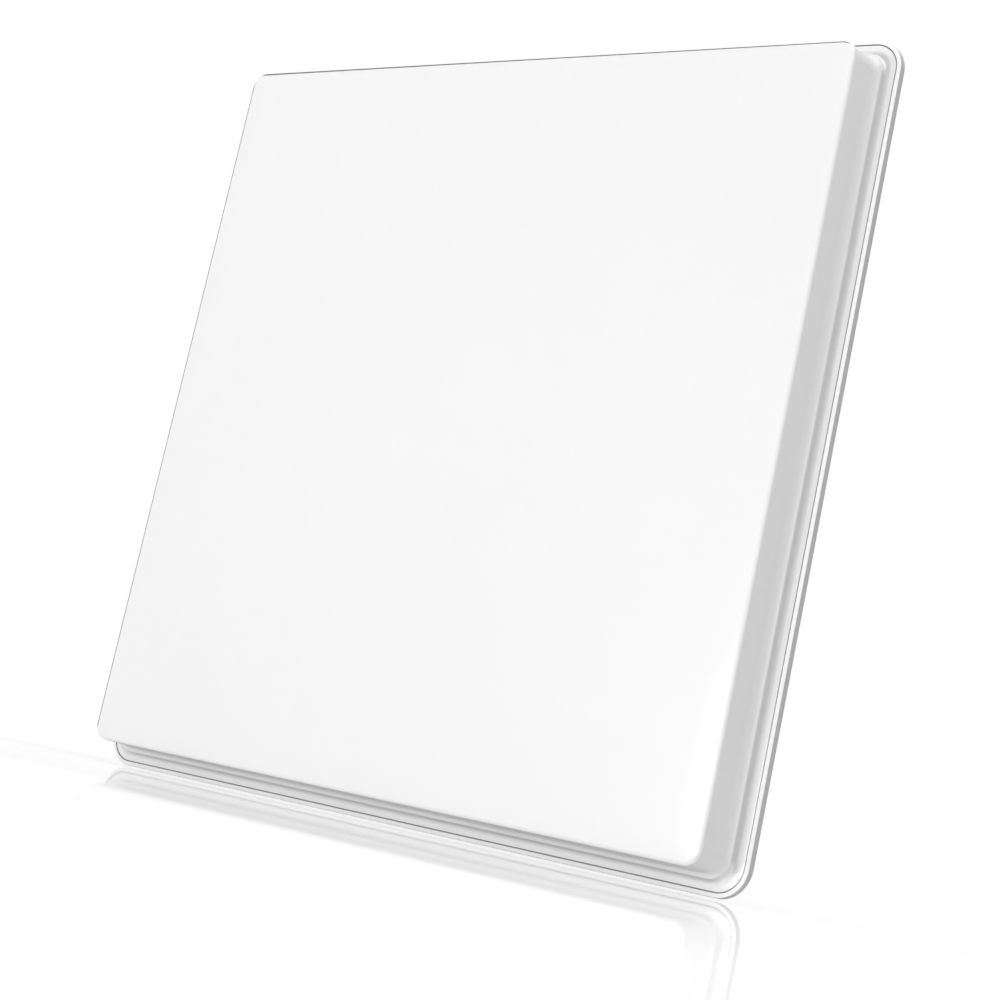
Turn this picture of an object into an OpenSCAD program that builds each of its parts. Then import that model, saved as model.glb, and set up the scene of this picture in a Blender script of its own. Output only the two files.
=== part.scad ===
// Flat panel antenna for satellite television: a white front cover seated in the lip of a
// shallow rear case, with a horn array, two waveguide feed plates and a receiver between them.
// The origin is the centre of the bracket bolts, on the rear face of the mounting plate.
// +X is to the right seen from the front, the front faces -Y, and +Z is up.

/* [Plate] */
// Width over the lip of the rear case
plate_w = 530; // [500:1:600]
// Height over the lip of the rear case
plate_h = 530; // [500:1:600]
// Outer corner radius of the lip
corner_r = 20; // [17:0.5:26]
// Wall of both mouldings
wall = 2.5; // [2:0.1:2.8]

/* [Rear case] */
// From the mounting plate's rear face to the top of the lip
case_depth = 25; // [24.5:0.5:30]
// Width of the lip round the front cover
lip_w = 2.7; // [2:0.1:3.5]
// Height of the lip's outer side
lip_h = 5.45; // [5:0.05:7]
// Rounding of the lip's outer edge
lip_round = 0.7; // [0.3:0.1:1.2]
// Inset of the pan's side wall at the back
pan_inset = 11.8; // [10:0.1:14]
// Lean of the pan's side wall from square
pan_draft = 18; // [8:1:20]
// Thickness of the mounting plate, which stands on the case
mount_t = 2; // [1.5:0.5:3]

/* [Front cover] */
// Height of the front face over the lip
block_h = 32.9; // [32.4:0.1:40]
// Inset of the block's side wall at its foot
block_inset = 13.5; // [12.5:0.1:15]
// Corner radius of the block's side wall at its foot
block_r = 12; // [9:0.5:16]
// Lean of the block's side walls
block_draft = 2; // [0.5:0.5:4]
// Rounding of the front edge
front_round = 2.6; // [1:0.1:5]
// Height of the foot's outer edge over the flange
foot_h = 5.4; // [4:0.1:7]
// Rise of the foot's sloping ledge
foot_rise = 1.3; // [0.5:0.1:2]
// Inset of the foot's outer side
foot_inset = 9.5; // [8.5:0.1:10.5]
// Width of the foot's sloping ledge
ledge_w = 2.6; // [2:0.1:3]
// Height of the hollow band between ledge and side wall
cove_h = 4.2; // [2:0.1:6]
// Gap of the joint between lip and flange
seam_gap = 0.35; // [0.2:0.05:0.6]

/* [Array] */
// Horns along each side
horns = 16; // [8:2:16]
// Distance between horns
horn_pitch = 29; // [27:0.1:29.3]
// Wall between two horn mouths
horn_wall = 2.4; // [1.6:0.1:4]
// Border of the plates round the horns
array_border = 8; // [7:0.5:8]
// Thickness of the horn plate
horn_t = 14; // [11:0.5:14]
// Thickness of each feed plate
feed_t = 6.5; // [6:0.5:6.5]
// Depth of the waveguide branches
feed_depth = 5; // [3:0.5:5]
// Width of the narrowest branches
feed_w = 8; // [6:0.5:10]
// Thickness of the back plate
back_t = 3; // [2:0.5:3]

/* [Receiver] */
// Width of the receiver's body
lnb_w = 120; // [100:1:140]
// Height of the receiver's body
lnb_h = 68; // [60:1:72]
// Distance from the origin down to the receiver's centre
lnb_drop = 82; // [80:1:90]
// Wall of the receiver's body
lnb_wall = 3; // [2:0.5:4]

/* [Outputs] */
// Distance between the two sockets
output_spacing = 36; // [26:1:50]
// Outer radius of the socket's thread
output_r = 4.76; // [4:0.01:5]
// Free length of the threaded end
output_free = 10.7; // [9:0.1:12]
// Width of the recess for the cable plugs
bay_w = 104; // [90:1:120]
// Height of the recess for the cable plugs
bay_h = 78; // [60:1:90]

/* [Fixing] */
// Bracket bolts, distance across
bolt_x = 100; // [80:1:110]
// Bracket bolts, distance up
bolt_z = 50; // [40:1:56]
// Radius of the threaded holes in the inserts
insert_bore = 2.5; // [2:0.1:3]
// Length of the inserts
insert_l = 12; // [10:0.5:13]
// Case screws along each side, without the corners
side_screws = 2; // [1:1:4]

/* [Hidden] */
$fn = 48;

fit = 0.05; // radial clearance of screws, pins and inserts in their holes
seat = 0.3; // gap at a seat that isn't clamped

// Levels above the mounting plate's rear face, forward being positive
skin_rear = mount_t;
skin_front = skin_rear + wall;
lip_top = case_depth;
lip_base = lip_top - lip_h;
flange_t = 2.3;
flange_top = lip_top - 0.3;
flange_base = flange_top - flange_t;
ledge_z = flange_base - seat;
foot_fillet = 1.2; // hollow between foot and flange
face_z = lip_top + block_h;
foam_top = face_z - wall - seat;
foam_t = 3.2;
horn_top = foam_top - foam_t;
horn_base = horn_top - horn_t;
mid_base = horn_base - feed_t;
back_top = mid_base - feed_t;
back_base = back_top - back_t;

// Corner centre lines: the lip's, and the block's
rim_cx = plate_w / 2 - corner_r;
rim_cy = plate_h / 2 - corner_r;
block_c = block_inset + block_r;
block_cx = plate_w / 2 - block_c;
block_cy = plate_h / 2 - block_c;

// Plates of the array
horn_edge = 31; // least distance from the lip's outer side to the horns
array_r = 4; // corner radius of the plates
array_w = min(horns * horn_pitch, floor((plate_w - 2 * horn_edge) / horn_pitch) * horn_pitch)
    + 2 * array_border;
array_h = min(horns * horn_pitch, floor((plate_h - 2 * horn_edge) / horn_pitch) * horn_pitch)
    + 2 * array_border;
horns_x = round((array_w - 2 * array_border) / horn_pitch);
horns_y = round((array_h - 2 * array_border) / horn_pitch);

// Seal under the flange, and its groove in the case
rim_seal_inset = lip_w + seam_gap + 2.4;
rim_seal_w = 1.8;
rim_seal_play = 0.1; // on each side of the seal
groove_depth = 1.2;

// Fields and breather of the back wall
field_depth = 0.8;
field_r = 8;
field_edge = 42; // from the lip's outer side
vent_r = 4;
vent_head_r = 6;
vent_head_t = 1; // stands out of the back wall

// Screws
screw_r = 1.5;
loose = 0.2; // radial play of the screws in the case
head_r = 2.8;
head_h = 2.2;
sink_h = 1.3;
well_r = 3.2;
post_r = well_r + 1.3;
case_well_top = ledge_z - 4;
case_screw_inset = 19.5;
corner_screw_inset = case_screw_inset + 1.5;
boss_r = 3.6;
boss_h = 14;
case_screw_tip = flange_base + boss_h - 4;
array_screw_inset = array_border / 2;
array_well_top = back_base - 4;
array_screw_tip = horn_base + 6;

// Receiver
lnb_x = lnb_w / 2;
lnb_top = -lnb_drop + lnb_h / 2;
lnb_bottom = -lnb_drop - lnb_h / 2;
lnb_base = skin_front + 0.5;
lnb_cover_t = 1.5;
lnb_r = 5; // corner radius
lnb_pocket_r = 3;
lnb_ear_w = 10;
lnb_ear_t = 3;
lnb_body_base = lnb_base + lnb_cover_t;
lnb_front_wall = 3.5;
lnb_pocket_top = back_base - lnb_front_wall;
board_t = 1.6;
board_play = 0.5;
port_w = 19.05;
port_h = 9.525;
port_gap = 44;
gasket_edge = 2.5; // from a port to the seal
gasket_w = 1.5;
gasket_t = 1.2;

// Outputs
collar_r = 6;
washer_r = 6.4; // the seal's radius too
collar_t = 1.5;
seal_t = 1.5;
bay_wall_top = lnb_bottom - collar_t - seal_t;
bay_top = bay_wall_top - wall;
bay_floor = back_base - 0.5 - wall;
bay_ramp = 26; // height of the recess's sloping lower end
drain_r = 1.5;
washer_t = 0.8;
nut_t = 3;
nut_flats = 11;
nut_r = nut_flats / 2 / cos(30);
output_z = bay_floor - nut_r - seat;
contact_r = 0.85;
board_base = output_z + contact_r;
neck_free = 0.4; // neck that shows between the nut and the free thread
output_free_top = bay_top - washer_t - nut_t - neck_free;
output_end = output_free_top - output_free;
output_core_r = output_r - 0.45; // the thread's core, and the neck under the nut
output_bore = 3.6;

// Mounting plate
mount_r = 4; // corner radius
mount_margin = 20;
mount_w = bolt_x + 2 * mount_margin;
mount_h = min(bolt_z + 2 * mount_margin, 2 * (-lnb_top) - 8);
insert_r = 4.5;
insert_boss_r = 7.5;
plate_screw_x = mount_w / 2 - 8;
plate_screw_z = mount_h / 2 - 8;

function arc(cx, cy, r, a0, a1, n) =
    [for (i = [0:n]) [cx + r * cos(a0 + (a1 - a0) * i / n), cy + r * sin(a0 + (a1 - a0) * i / n)]];

// Turns a model drawn with x right, y up and z forward to the frame of the part
module upright() {
    rotate([90, 0, 0]) children();
}

module rounded(w, h, r) {
    square([w - 2 * r, h], center = true);
    square([w, h - 2 * r], center = true);
    for (sx = [-1, 1], sy = [-1, 1]) translate([sx * (w / 2 - r), sy * (h / 2 - r)]) circle(r);
}

module slab(w, h, r, z0, z1) {
    translate([0, 0, z0]) linear_extrude(z1 - z0) rounded(w, h, r);
}

// Carries a section, x outward and y forward, round a rectangle with corners at (cx, cy)
module carried(cx, cy) {
    for (turn = [0:3]) {
        a = turn % 2 == 0 ? cx : cy;
        b = turn % 2 == 0 ? cy : cx;
        rotate(90 * turn) translate([a, b, 0]) {
            rotate_extrude(angle = 90) children();
            rotate([90, 0, 0]) linear_extrude(2 * b) children();
        }
    }
}

// Screw with a flat countersunk head, flush at the given level
module flush_screw(x, y, face, tip) {
    difference() {
        translate([x, y, face]) union() {
            cylinder(r1 = head_r, r2 = screw_r, h = sink_h, $fn = 32);
            cylinder(r = screw_r, h = tip - face, $fn = 24);
        }
        translate([x, y, face - 1]) cylinder(r = 1.1, h = 2, $fn = 6);
    }
}

module screw(x, y, under_head, tip) {
    translate([x, y, under_head]) cylinder(r = screw_r, h = tip - under_head, $fn = 24);
    difference() {
        translate([x, y, under_head - head_h]) cylinder(r = head_r, h = head_h, $fn = 32);
        translate([x, y, under_head - head_h - 1]) cylinder(r = 1.2, h = 2.2, $fn = 6);
    }
}

// Places of the screws that pull the cover on to the case, from the plate's outline
function case_screw_places() =
    let (px = plate_w / 2 - case_screw_inset, py = plate_h / 2 - case_screw_inset,
        cx = plate_w / 2 - corner_screw_inset, cy = plate_h / 2 - corner_screw_inset,
        n = side_screws)
    concat(
        [for (sx = [-1, 1], sy = [-1, 1]) [sx * cx, sy * cy]],
        [for (s = [-1, 1], i = [1:n]) [s * px, (i / (n + 1) * 2 - 1) * py]],
        [for (s = [-1, 1], i = [1:n]) [(i / (n + 1) * 2 - 1) * px, s * py]]);

// Places of the screws that hold the array on the pillars of the case
function array_screw_places() =
    let (px = array_w / 2 - array_screw_inset, py = array_h / 2 - array_screw_inset)
    concat([for (sx = [-1, 1], sy = [-1, 1]) [sx * px, sy * py * 0.5]],
        [for (sx = [-1, 1], sy = [-1, 1]) [sx * px * 0.5, sy * py]]);

// Places of the screws that clamp the plates to each other
function stack_screw_places() =
    let (px = array_w / 2 - array_screw_inset, py = array_h / 2 - array_screw_inset)
    concat([for (sx = [-1, 1], sy = [-1, 1]) [sx * px, sy * py]],
        [for (s = [-1, 1]) [s * px, 0]],
        [for (s = [-1, 1]) [0, s * py]]);

// Section of the front cover: a skin of one wall that steps down to the flange
module radome_section() {
    foot_u = block_c - foot_inset;
    crease_u = foot_u - ledge_w;
    side_u = block_r;
    foot_z = flange_top + foot_h;
    crease_z = foot_z + foot_rise;
    cove_top = crease_z + cove_h;
    cove_r = norm([crease_u - side_u, cove_h])
        / (2 * sin(atan((crease_u - side_u) / cove_h) - block_draft));
    cove_cx = side_u + cove_r * cos(block_draft);
    cove_cy = cove_top + cove_r * sin(block_draft);
    cove_a0 = atan2(crease_z - cove_cy, crease_u - cove_cx) + 360;
    rise = face_z - cove_top;
    top_u = side_u - rise * tan(block_draft);
    round_cx = top_u - front_round * (1 - sin(block_draft)) / cos(block_draft);
    polygon(concat(
        [[0, face_z]],
        arc(round_cx, face_z - front_round, front_round, 90, block_draft, 8),
        arc(cove_cx, cove_cy, cove_r, 180 + block_draft, cove_a0, 6),
        arc(foot_u - 1, foot_z - 0.9, 1, 62, 0, 4),
        arc(foot_u + foot_fillet, flange_top + foot_fillet, foot_fillet, 180, 270, 5),
        [[foot_u + foot_fillet, flange_base], [foot_u - wall, flange_base]],
        [[foot_u - wall, foot_z - wall], [crease_u - wall, crease_z - wall * 0.8]],
        [[side_u - wall, cove_top - wall * 0.4]],
        [[top_u - wall + 0.05, face_z - wall - front_round * 0.5]],
        [[top_u - wall - front_round * 0.5, face_z - wall], [0, face_z - wall]]));
}

module radome() {
    color([0.94, 0.94, 0.94]) upright() {
        boss_top = flange_base + boss_h;
        difference() {
            union() {
                carried(block_cx, block_cy) radome_section();
                translate([-block_cx, -block_cy, face_z - wall])
                    cube([2 * block_cx, 2 * block_cy, wall]);
                difference() {
                    edge = lip_w + seam_gap;
                    inner = foot_inset + wall;
                    slab(plate_w - 2 * edge, plate_h - 2 * edge, corner_r - edge,
                        flange_base, flange_top);
                    slab(plate_w - 2 * inner, plate_h - 2 * inner, block_c - inner,
                        flange_base - 1, flange_top + 1);
                }
                for (p = case_screw_places()) {
                    translate([p[0], p[1], flange_base]) cylinder(r = boss_r, h = boss_top - flange_base);
                    boss_web(p, flange_base, boss_top - 2);
                }
            }
            for (p = case_screw_places())
                translate([p[0], p[1], flange_base - 1])
                    cylinder(r = screw_r + fit, h = case_screw_tip - flange_base + 2, $fn = 24);
        }
    }
}

// Web that ties a screw boss to the side wall next to it
module boss_web(p, z0, z1) {
    reach = case_screw_inset - block_inset - wall / 2;
    to_x = plate_w / 2 - abs(p[0]) <= plate_h / 2 - abs(p[1]);
    turn = to_x ? (p[0] > 0 ? 0 : 180) : (p[1] > 0 ? 90 : 270);
    translate([p[0], p[1], z0]) rotate(turn) translate([0, -0.8, 0])
        cube([reach, 1.6, z1 - z0]);
}

module foam_spacer() {
    color([0.85, 0.88, 0.90]) upright()
        slab(array_w - 2, array_h - 2, 6, horn_top, foam_top);
}

// One level of the horn plate: bars that leave a square opening of the given width
module horn_level(opening, z0, z1) {
    bar = horn_pitch - opening;
    field_w = horns_x * horn_pitch;
    field_h = horns_y * horn_pitch;
    translate([0, 0, z0]) linear_extrude(z1 - z0) {
        difference() {
            rounded(array_w, array_h, array_r);
            square([field_w - bar, field_h - bar], center = true);
        }
        for (i = [1:horns_x - 1])
            translate([-field_w / 2 + i * horn_pitch - bar / 2, -field_h / 2])
                square([bar, field_h]);
        for (i = [1:horns_y - 1])
            translate([-field_w / 2, -field_h / 2 + i * horn_pitch - bar / 2])
                square([field_w, bar]);
    }
}

module horn_plate() {
    mouth = horn_pitch - horn_wall;
    color([0.78, 0.79, 0.80]) upright() difference() {
        union() {
            horn_level(mouth, horn_base + horn_t * 0.62, horn_top);
            horn_level(mouth * 0.8, horn_base + horn_t * 0.3, horn_base + horn_t * 0.62);
            horn_level(mouth * 0.62, horn_base, horn_base + horn_t * 0.3);
        }
        for (p = concat(array_screw_places(), stack_screw_places()))
            translate([p[0], p[1], horn_base - 1])
                cylinder(r = screw_r + fit, h = array_screw_tip - horn_base + 2, $fn = 24);
    }
}

// Branching waveguide: an H whose four ends each carry a smaller H, down to groups of horns
module branches(w, h, depth, width) {
    square([w / 2 + width, width], center = true);
    for (sx = [-1, 1]) translate([sx * w / 4, 0]) {
        square([width, h / 2 + width], center = true);
        for (sy = [-1, 1]) translate([0, sy * h / 4])
            if (depth > 1) branches(w / 2, h / 2, depth - 1, width);
    }
}

module feed_plate(z0, z1, turn) {
    field_w = horns_x * horn_pitch;
    field_h = horns_y * horn_pitch;
    color([0.74, 0.75, 0.77]) upright() difference() {
        slab(array_w, array_h, array_r, z0, z1);
        translate([0, 0, z0 - 1]) linear_extrude(feed_depth + 1)
            if (turn == 0) branches(field_w, field_h, 3, feed_w);
            else rotate(90) branches(field_h, field_w, 3, feed_w);
        for (p = concat(array_screw_places(), stack_screw_places()))
            translate([p[0], p[1], z0 - 1])
                cylinder(r = screw_r + fit, h = z1 - z0 + 2, $fn = 24);
    }
}

module feed_plate_front() {
    feed_plate(mid_base, horn_base, 0);
}

module feed_plate_rear() {
    feed_plate(back_top, mid_base, 1);
}

// Places of the receiver's fixing screws, in ears at its two sides
function lnb_screw_places() =
    [for (sx = [-1, 1], sy = [-1, 0, 1]) [sx * (lnb_x + lnb_ear_w / 2), -lnb_drop + sy * (lnb_h / 2 - 8)]];

module ports(z0, z1) {
    for (sx = [-1, 1])
        translate([sx * port_gap / 2 - port_w / 2, -lnb_drop - port_h / 2, z0])
            cube([port_w, port_h, z1 - z0]);
}

module back_plate() {
    color([0.72, 0.73, 0.75]) upright() difference() {
        slab(array_w, array_h, array_r, back_base, back_top);
        ports(back_base - 1, back_top + 1);
        for (p = concat(array_screw_places(), stack_screw_places(), lnb_screw_places()))
            translate([p[0], p[1], back_base - 1])
                cylinder(r = screw_r + fit, h = back_t + 2, $fn = 24);
    }
}

module stack_screws() {
    color([0.6, 0.6, 0.62]) upright()
        for (p = stack_screw_places()) screw(p[0], p[1], back_base, array_screw_tip);
}

module rim_seal() {
    color([0.15, 0.15, 0.15]) upright()
        carried(rim_cx, rim_cy)
            translate([corner_r - rim_seal_inset - rim_seal_w, ledge_z - groove_depth])
                square([rim_seal_w, flange_base - ledge_z + groove_depth]);
}

// Section of the rear case: lip, ledge with the seal's groove, and the pan's leaning wall
module case_section() {
    lip_u = corner_r - lip_w;
    ledge_u = 10.4;
    groove_u = corner_r - rim_seal_inset + rim_seal_play;
    groove_in = groove_u - rim_seal_w - 2 * rim_seal_play;
    back_round = 2.2;
    wall_top = lip_base - 2.6;
    wall_base = skin_rear + back_round;
    base_u = corner_r - pan_inset;
    top_u = base_u + (wall_top - wall_base) * tan(pan_draft);
    slant = wall / cos(pan_draft);
    polygon(concat(
        [[0, skin_rear]],
        arc(base_u - back_round, wall_base, back_round, 270, 360, 5),
        [[base_u, wall_base], [top_u, wall_top]],
        arc(top_u + 1.8, wall_top + 0.4, 1.8, 180, 100, 4),
        [[corner_r, lip_base]],
        arc(corner_r - lip_round, lip_top - lip_round, lip_round, 0, 90, 4),
        [[lip_u, lip_top], [lip_u, ledge_z], [groove_u, ledge_z], [groove_u, ledge_z - groove_depth]],
        [[groove_in, ledge_z - groove_depth], [groove_in, ledge_z], [ledge_u, ledge_z]],
        [[top_u - slant, wall_top], [base_u - slant, skin_front]],
        [[0, skin_front]]));
}

// Shallow stiffening fields in the back, each a rounded rectangle: centre, width, height
function back_fields() =
    let (reach_x = plate_w / 2 - field_edge, reach_y = plate_h / 2 - field_edge,
        side_x = mount_w / 2 + 16, up = mount_h / 2 + 14, low = bay_top - bay_h - 10)
    [for (s = [-1, 1]) [s * (side_x + reach_x) / 2, 0, reach_x - side_x, 2 * up - 8],
     for (s = [-1, 0, 1]) [s * (2 * reach_x + 8) / 3, (up + 4 + reach_y) / 2,
         (2 * reach_x - 16) / 3, reach_y - up - 4],
     for (s = [-1, 1]) [s * (bay_w / 2 + 14 + reach_x) / 2, (-up - 4 - reach_y) / 2,
         reach_x - bay_w / 2 - 14, reach_y - up - 4]];

module rear_case() {
    vent = vent_place();
    color([0.93, 0.93, 0.93]) upright() difference() {
        union() {
            carried(rim_cx, rim_cy) case_section();
            translate([-rim_cx, -rim_cy, skin_rear]) cube([2 * rim_cx, 2 * rim_cy, wall]);
            // frame that the mounting plate sits in
            slab(mount_w + 9, mount_h + 9, 7, skin_rear - 1.2, skin_rear + 1);
            bay_shell();
            for (p = case_screw_places()) {
                translate([p[0], p[1], skin_rear]) cylinder(r = post_r, h = ledge_z - skin_rear);
            }
            for (p = array_screw_places())
                translate([p[0], p[1], skin_rear]) cylinder(r = post_r, h = back_base - skin_rear);
            for (sx = [-1, 1], sy = [-1, 1])
                translate([sx * bolt_x / 2, sy * bolt_z / 2, skin_rear])
                    cylinder(r = insert_boss_r, h = insert_l + 1 - skin_rear);
            for (sx = [-1, 1], sy = [-1, 1])
                translate([sx * plate_screw_x, sy * plate_screw_z, skin_rear])
                    cylinder(r = 4, h = 8);
            inner_ribs();
        }
        // seat of the mounting plate
        slab(mount_w + 2 * seat, mount_h + 2 * seat, mount_r + seat, skin_rear - 2, skin_rear);
        bay_space();
        drain_holes();
        for (sx = [-1, 1])
            translate([sx * output_spacing / 2, bay_top - 1, output_z]) rotate([-90, 0, 0])
                cylinder(r = output_r + 0.15, h = wall + 2);
        for (f = back_fields())
            translate([f[0], f[1], 0])
                slab(f[2], f[3], field_r, skin_rear - 1, skin_rear + field_depth);
        for (p = case_screw_places()) {
            translate([p[0], p[1], skin_rear - 1])
                cylinder(r = well_r, h = case_well_top - skin_rear + 1);
            translate([p[0], p[1], skin_rear])
                cylinder(r = screw_r + loose, h = ledge_z - skin_rear + 1, $fn = 24);
        }
        for (p = array_screw_places()) {
            translate([p[0], p[1], skin_rear - 1])
                cylinder(r = well_r, h = array_well_top - skin_rear + 1);
            translate([p[0], p[1], skin_rear])
                cylinder(r = screw_r + loose, h = back_base - skin_rear + 1, $fn = 24);
        }
        for (sx = [-1, 1], sy = [-1, 1]) {
            translate([sx * bolt_x / 2, sy * bolt_z / 2, -1])
                cylinder(r = insert_r + fit, h = insert_l + 3);
            translate([sx * plate_screw_x, sy * plate_screw_z, skin_rear - 1])
                cylinder(r = screw_r + fit, h = 8, $fn = 24);
        }
        translate([vent[0], vent[1], skin_rear - 1]) cylinder(r = vent_r + fit, h = wall + 2);
    }
}

// Space of the recess for the cable plugs: a box with a sloping lower end
module bay_space() {
    low = bay_top - bay_h;
    rotate([0, -90, 0]) linear_extrude(bay_w, center = true)
        polygon([[skin_rear - 2, bay_top], [bay_floor, bay_top], [bay_floor, low + bay_ramp],
            [skin_rear + 1, low], [skin_rear - 2, low]]);
}

// Block round that space, one wall larger, which closes the recess towards the inside
module bay_shell() {
    low = bay_top - bay_h;
    slope = (bay_floor - skin_rear - 1) / bay_ramp;
    drop = wall * norm([1, slope]) / slope; // one wall, measured along the height
    rotate([0, -90, 0]) linear_extrude(bay_w + 2 * wall, center = true)
        polygon([[skin_rear, bay_top + wall], [bay_floor + wall, bay_top + wall],
            [bay_floor + wall, low + bay_ramp + wall / slope - drop],
            [skin_front, low + (wall - 1) / slope - drop], [skin_rear, low + (wall - 1) / slope - drop]]);
}

// Two holes in the lower side wall that let water out
module drain_holes() {
    for (sx = [-1, 1])
        translate([sx * plate_w / 4, -plate_h / 2 - 1, skin_front + drain_r + 0.5]) rotate([-90, 0, 0])
            cylinder(r = drain_r, h = pan_inset + 2 * wall + 1, $fn = 24);
}

// Ribs on the inside of the back wall
module inner_ribs() {
    rib = 1.8;
    rib_h = 7;
    end = pan_inset + 9;
    span_x = plate_w - 2 * end;
    span_y = plate_h - 2 * end;
    near_x = mount_w / 2 + 8;
    near_y = mount_h / 2 + 10;
    for (s = [-1, 1], x = [near_x, (near_x + span_x / 2) / 2])
        translate([s * x - rib / 2, -span_y / 2, skin_front - 0.5])
            cube([rib, span_y, rib_h]);
    for (y = [near_y, (near_y + span_y / 2) / 2])
        translate([-span_x / 2, y - rib / 2, skin_front - 0.5])
            cube([span_x, rib, rib_h]);
}

module case_screws() {
    color([0.7, 0.7, 0.72]) upright()
        for (p = case_screw_places()) screw(p[0], p[1], case_well_top, case_screw_tip);
}

module array_screws() {
    color([0.7, 0.7, 0.72]) upright()
        for (p = array_screw_places()) screw(p[0], p[1], array_well_top, array_screw_tip);
}

module mount_plate() {
    color([0.66, 0.68, 0.70]) upright() difference() {
        slab(mount_w, mount_h, mount_r, 0, skin_rear);
        for (sx = [-1, 1], sy = [-1, 1]) {
            translate([sx * bolt_x / 2, sy * bolt_z / 2, -1])
                cylinder(r = insert_r + fit, h = skin_rear + 2);
            translate([sx * plate_screw_x, sy * plate_screw_z, -1])
                cylinder(r = screw_r + fit, h = skin_rear + 2, $fn = 24);
            translate([sx * plate_screw_x, sy * plate_screw_z, 0])
                cylinder(r1 = head_r + fit, r2 = screw_r + fit, h = sink_h, $fn = 32);
        }
    }
}

module mount_inserts() {
    color([0.76, 0.66, 0.38]) upright()
        for (sx = [-1, 1], sy = [-1, 1]) translate([sx * bolt_x / 2, sy * bolt_z / 2, 0])
            difference() {
                cylinder(r = insert_r, h = insert_l);
                translate([0, 0, -1]) cylinder(r = insert_bore, h = insert_l + 2);
            }
}

module plate_screws() {
    color([0.7, 0.7, 0.72]) upright()
        for (sx = [-1, 1], sy = [-1, 1])
            flush_screw(sx * plate_screw_x, sy * plate_screw_z, 0, skin_rear + 6);
}

function vent_place() = [bay_w / 2 + 38, bay_top - bay_h / 2];

module vent_plug() {
    vent = vent_place();
    color([0.2, 0.2, 0.2]) upright() translate([vent[0], vent[1], 0]) {
        translate([0, 0, skin_rear + field_depth]) cylinder(r = vent_r, h = wall);
        difference() {
            translate([0, 0, skin_rear - vent_head_t])
                cylinder(r = vent_head_r, h = vent_head_t + field_depth);
            for (a = [0:60:300]) rotate(a) translate([3.6, -0.5, skin_rear - 2]) cube([3, 1, 1.7]);
        }
    }
}

module lnb_body() {
    color([0.70, 0.71, 0.72]) upright() difference() {
        union() {
            translate([0, -lnb_drop, 0]) slab(lnb_w, lnb_h, lnb_r, lnb_body_base, back_base);
            translate([0, -lnb_drop, 0])
                slab(lnb_w + 2 * lnb_ear_w, lnb_h - 6, lnb_r, back_base - lnb_ear_t, back_base);
        }
        difference() {
            translate([0, -lnb_drop, 0])
                slab(lnb_w - 2 * lnb_wall, lnb_h - 2 * lnb_wall, lnb_pocket_r,
                    lnb_body_base - 1, lnb_pocket_top);
            for (p = board_posts()) translate([p[0], p[1], board_base + board_t])
                cylinder(r = 3, h = back_base);
        }
        ports(lnb_pocket_top - 1, back_base + 1);
        translate([0, -lnb_drop, 0]) gasket_ring(back_base - gasket_t, back_base + 1, 0.1);
        for (p = lnb_screw_places()) translate([p[0], p[1], back_base - 5])
            cylinder(r = screw_r + fit, h = 7, $fn = 24);
        for (sx = [-1, 1])
            translate([sx * output_spacing / 2, lnb_bottom - 1, output_z]) rotate([-90, 0, 0])
                cylinder(r = 2.2, h = lnb_wall + 2);
    }
}

function board_posts() =
    [for (sx = [-1, 1], sy = [-1, 1])
        [sx * (lnb_x - lnb_wall - 7), -lnb_drop + sy * (lnb_h / 2 - lnb_wall - 7)]];

// Seal round both ports, and with grow more than 0 the groove that holds it
module gasket_ring(z0, z1, grow) {
    inner_w = port_gap + port_w + 2 * gasket_edge - 2 * grow;
    inner_h = port_h + 2.8 * gasket_edge - 2 * grow;
    across = 2 * gasket_w + 4 * grow;
    difference() {
        slab(inner_w + across, inner_h + across, 4, z0, z1);
        slab(inner_w, inner_h, 3, z0 - 1, z1 + 1);
    }
}

module lnb_gasket() {
    color([0.15, 0.15, 0.15]) upright() translate([0, -lnb_drop, 0])
        gasket_ring(back_base - gasket_t, back_base, 0);
}

module lnb_board() {
    color([0.10, 0.35, 0.18]) upright() translate([0, -lnb_drop, 0])
        slab(lnb_w - 2 * (lnb_wall + board_play), lnb_h - 2 * (lnb_wall + board_play),
            lnb_pocket_r, board_base, board_base + board_t);
}

module lnb_cover() {
    color([0.70, 0.71, 0.72]) upright() translate([0, -lnb_drop, 0])
        slab(lnb_w, lnb_h, lnb_r, lnb_base, lnb_body_base);
}

module lnb_probes() {
    color([0.8, 0.7, 0.4]) upright()
        for (sx = [-1, 1]) translate([sx * port_gap / 2, -lnb_drop, board_base + board_t])
            cylinder(r = 0.65, h = back_base - board_base - board_t, $fn = 24);
}

module lnb_screws() {
    color([0.6, 0.6, 0.62]) upright()
        for (p = lnb_screw_places()) screw(p[0], p[1], back_base - lnb_ear_t, back_top - 0.5);
}

// Places a piece of a socket: its axis points down from the receiver's lower side
module at_output(side, top) {
    upright() translate([side * output_spacing / 2, top, output_z]) rotate([90, 0, 0]) children();
}

module output_body(side) {
    color([0.80, 0.80, 0.78]) at_output(side, lnb_bottom) difference() {
        union() {
            cylinder(r = collar_r, h = collar_t);
            cylinder(r = output_core_r, h = lnb_bottom - output_free_top);
            translate([0, 0, lnb_bottom - output_free_top]) cylinder(r = output_r, h = output_free);
        }
        translate([0, 0, -1]) cylinder(r = output_bore, h = lnb_bottom - output_end + 2);
    }
}

module output_body_left() {
    output_body(-1);
}

module output_body_right() {
    output_body(1);
}

module output_seals() {
    color([0.15, 0.15, 0.15])
        for (side = [-1, 1]) at_output(side, lnb_bottom - collar_t) difference() {
            cylinder(r = washer_r, h = seal_t);
            translate([0, 0, -1]) cylinder(r = output_r + fit, h = seal_t + 2);
        }
}

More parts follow.
